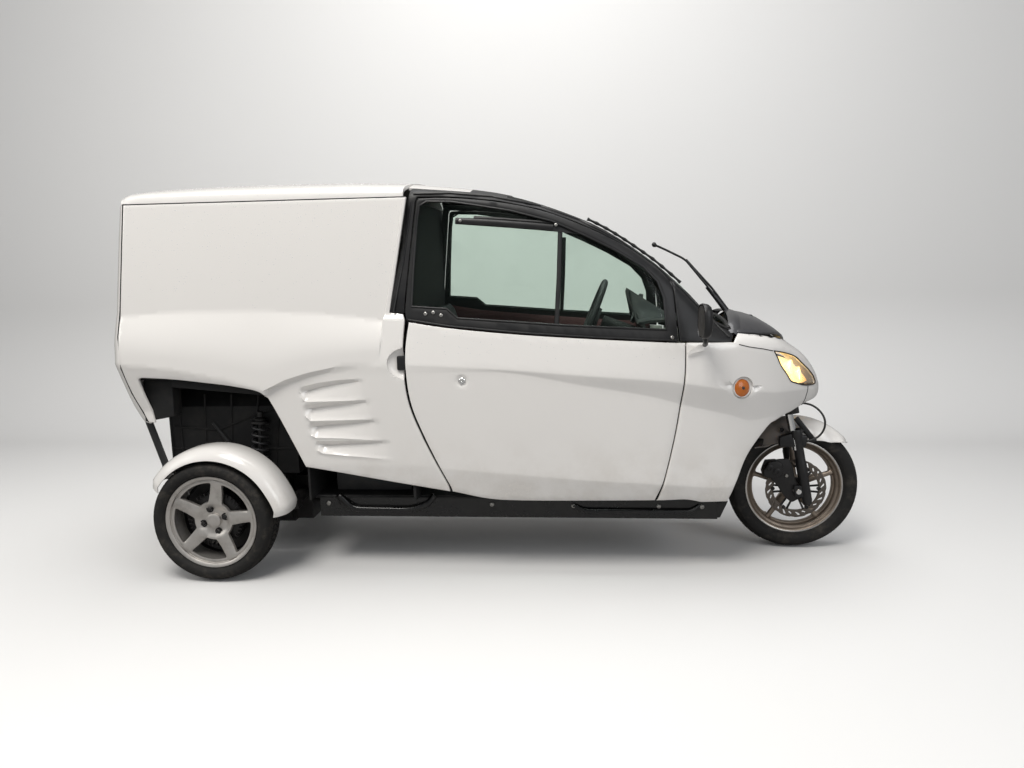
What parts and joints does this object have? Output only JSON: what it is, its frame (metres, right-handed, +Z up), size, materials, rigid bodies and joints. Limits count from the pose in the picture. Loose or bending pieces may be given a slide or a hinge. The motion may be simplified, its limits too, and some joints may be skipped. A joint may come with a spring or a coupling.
{
  "type": "narrow tilting three wheeled car with cargo box",
  "caption": "Narrow enclosed cargo three wheeler: a single steered front wheel, tilting cabin and cargo box on a rear wheel unit, side doors and a top-hinged tailgate.",
  "frame": {"origin": "on the floor under the middle of the whole car", "axes": "+X forwards, +Y to the car's left, +Z up"},
  "size_m": [2.89, 1.08, 1.508],
  "materials": {
    "white_panel": "gloss white",
    "satin_black": "satin black",
    "black_frame": "black powder coat",
    "grey_lid": "satin dark grey",
    "tinted_glass": "clear, light green tint",
    "lamp_lens": "clear",
    "amber_lens": "gloss amber",
    "red_lens": "gloss red",
    "tyre_rubber": "matte",
    "silver_alloy": "satin silver",
    "grey_alloy": "satin grey",
    "dark_casting": "dark",
    "disc_steel": "turned",
    "fork_steel": "semi gloss black",
    "seal_rubber": "matte",
    "seat_cloth": "woven",
    "dash_plastic": "grained",
    "hose_rubber": "matte"
  },
  "bodies": {
    "rear_unit": {"rear_carrier": "dark_casting", "rear_liner": "satin_black", "rear_arm_left": "dark_casting", "rear_arm_right": "dark_casting", "rear_damper_left": "fork_steel", "rear_damper_right": "fork_steel", "rear_mudguard_left": "white_panel", "rear_mudguard_right": "white_panel"},
    "rear_wheel_left": {"rear_tyre_left": "tyre_rubber", "rear_rim_left": "silver_alloy"},
    "rear_wheel_right": {"rear_tyre_right": "tyre_rubber", "rear_rim_right": "silver_alloy"},
    "cabin": {"chassis_frame": "black_frame", "cabin_floor": "black_frame", "cargo_side_left": "white_panel", "cargo_side_right": "white_panel", "roof_cap": "white_panel", "cargo_floor": "satin_black", "bulkhead": "satin_black", "battery_block": "dark_casting", "front_cowl": "white_panel", "nose_cap": "white_panel", "headlamp_lenses": "lamp_lens", "side_markers": "amber_lens", "bonnet_lid": "grey_lid", "pillar_frame": "satin_black", "windscreen": "tinted_glass", "door_seals": "seal_rubber", "door_latches": "satin_black", "sill_tubes": "black_frame", "steering_head": "black_frame", "dashboard": "dash_plastic", "steering_column": "dash_plastic", "seat_plinth": "satin_black", "seat_base": "seat_cloth", "seat_back": "seat_cloth", "mirrors": "satin_black", "wiper": "satin_black"},
    "fork": {"fork": "fork_steel", "front_mudguard": "white_panel", "brake_caliper": "dark_casting", "brake_hose": "hose_rubber"},
    "front_wheel": {"front_tyre": "tyre_rubber", "front_rim": "grey_alloy", "brake_disc": "disc_steel"},
    "door_left": {"door_panel_left": "white_panel", "door_frame_left": "satin_black", "door_glass_left": "tinted_glass"},
    "door_right": {"door_panel_right": "white_panel", "door_frame_right": "satin_black", "door_glass_right": "tinted_glass"},
    "tailgate": {"tailgate": "white_panel", "tail_lamps": "red_lens"},
    "steering_wheel": {"steering_wheel": "dash_plastic"}
  },
  "joints": [
    {"name": "tilt", "type": "hinge", "parent": "rear_unit", "child": "cabin", "pos_m": [-0.7, 0, 0.2], "axis": [1, 0, 0], "range_deg": [-45, 45]},
    {"name": "rear_spin_left", "type": "hinge", "parent": "rear_unit", "child": "rear_wheel_left", "pos_m": [-1.06, 0.418, 0.235], "axis": [0, 1, 0], "continuous": true},
    {"name": "rear_spin_right", "type": "hinge", "parent": "rear_unit", "child": "rear_wheel_right", "pos_m": [-1.06, -0.418, 0.235], "axis": [0, 1, 0], "continuous": true},
    {"name": "steer", "type": "hinge", "parent": "cabin", "child": "fork", "pos_m": [1.19, 0, 0.257], "axis": [-0.1908, 0, 0.9816], "range_deg": [-32, 32]},
    {"name": "front_spin", "type": "hinge", "parent": "fork", "child": "front_wheel", "pos_m": [1.188, 0, 0.257], "axis": [0, 1, 0], "continuous": true},
    {"name": "door_left_hinge", "type": "hinge", "parent": "cabin", "child": "door_left", "pos_m": [0.704, 0.399, 0.6], "axis": [0, 0, -1], "range_deg": [0, 70]},
    {"name": "door_right_hinge", "type": "hinge", "parent": "cabin", "child": "door_right", "pos_m": [0.704, -0.399, 0.6], "axis": [0, 0, 1], "range_deg": [0, 70]},
    {"name": "tailgate_hinge", "type": "hinge", "parent": "cabin", "child": "tailgate", "pos_m": [-1.374, 0, 1.409], "axis": [0, 1, 0], "range_deg": [0, 85]},
    {"name": "steering_wheel_turn", "type": "hinge", "parent": "cabin", "child": "steering_wheel", "pos_m": [0.374, 0, 0.953], "axis": [0.9274, 0, -0.3742], "range_deg": [-96, 96]}
  ],
  "couplings": [
    {"joint": "steering_wheel_turn", "follows": "steer", "ratio": -3}
  ]
}
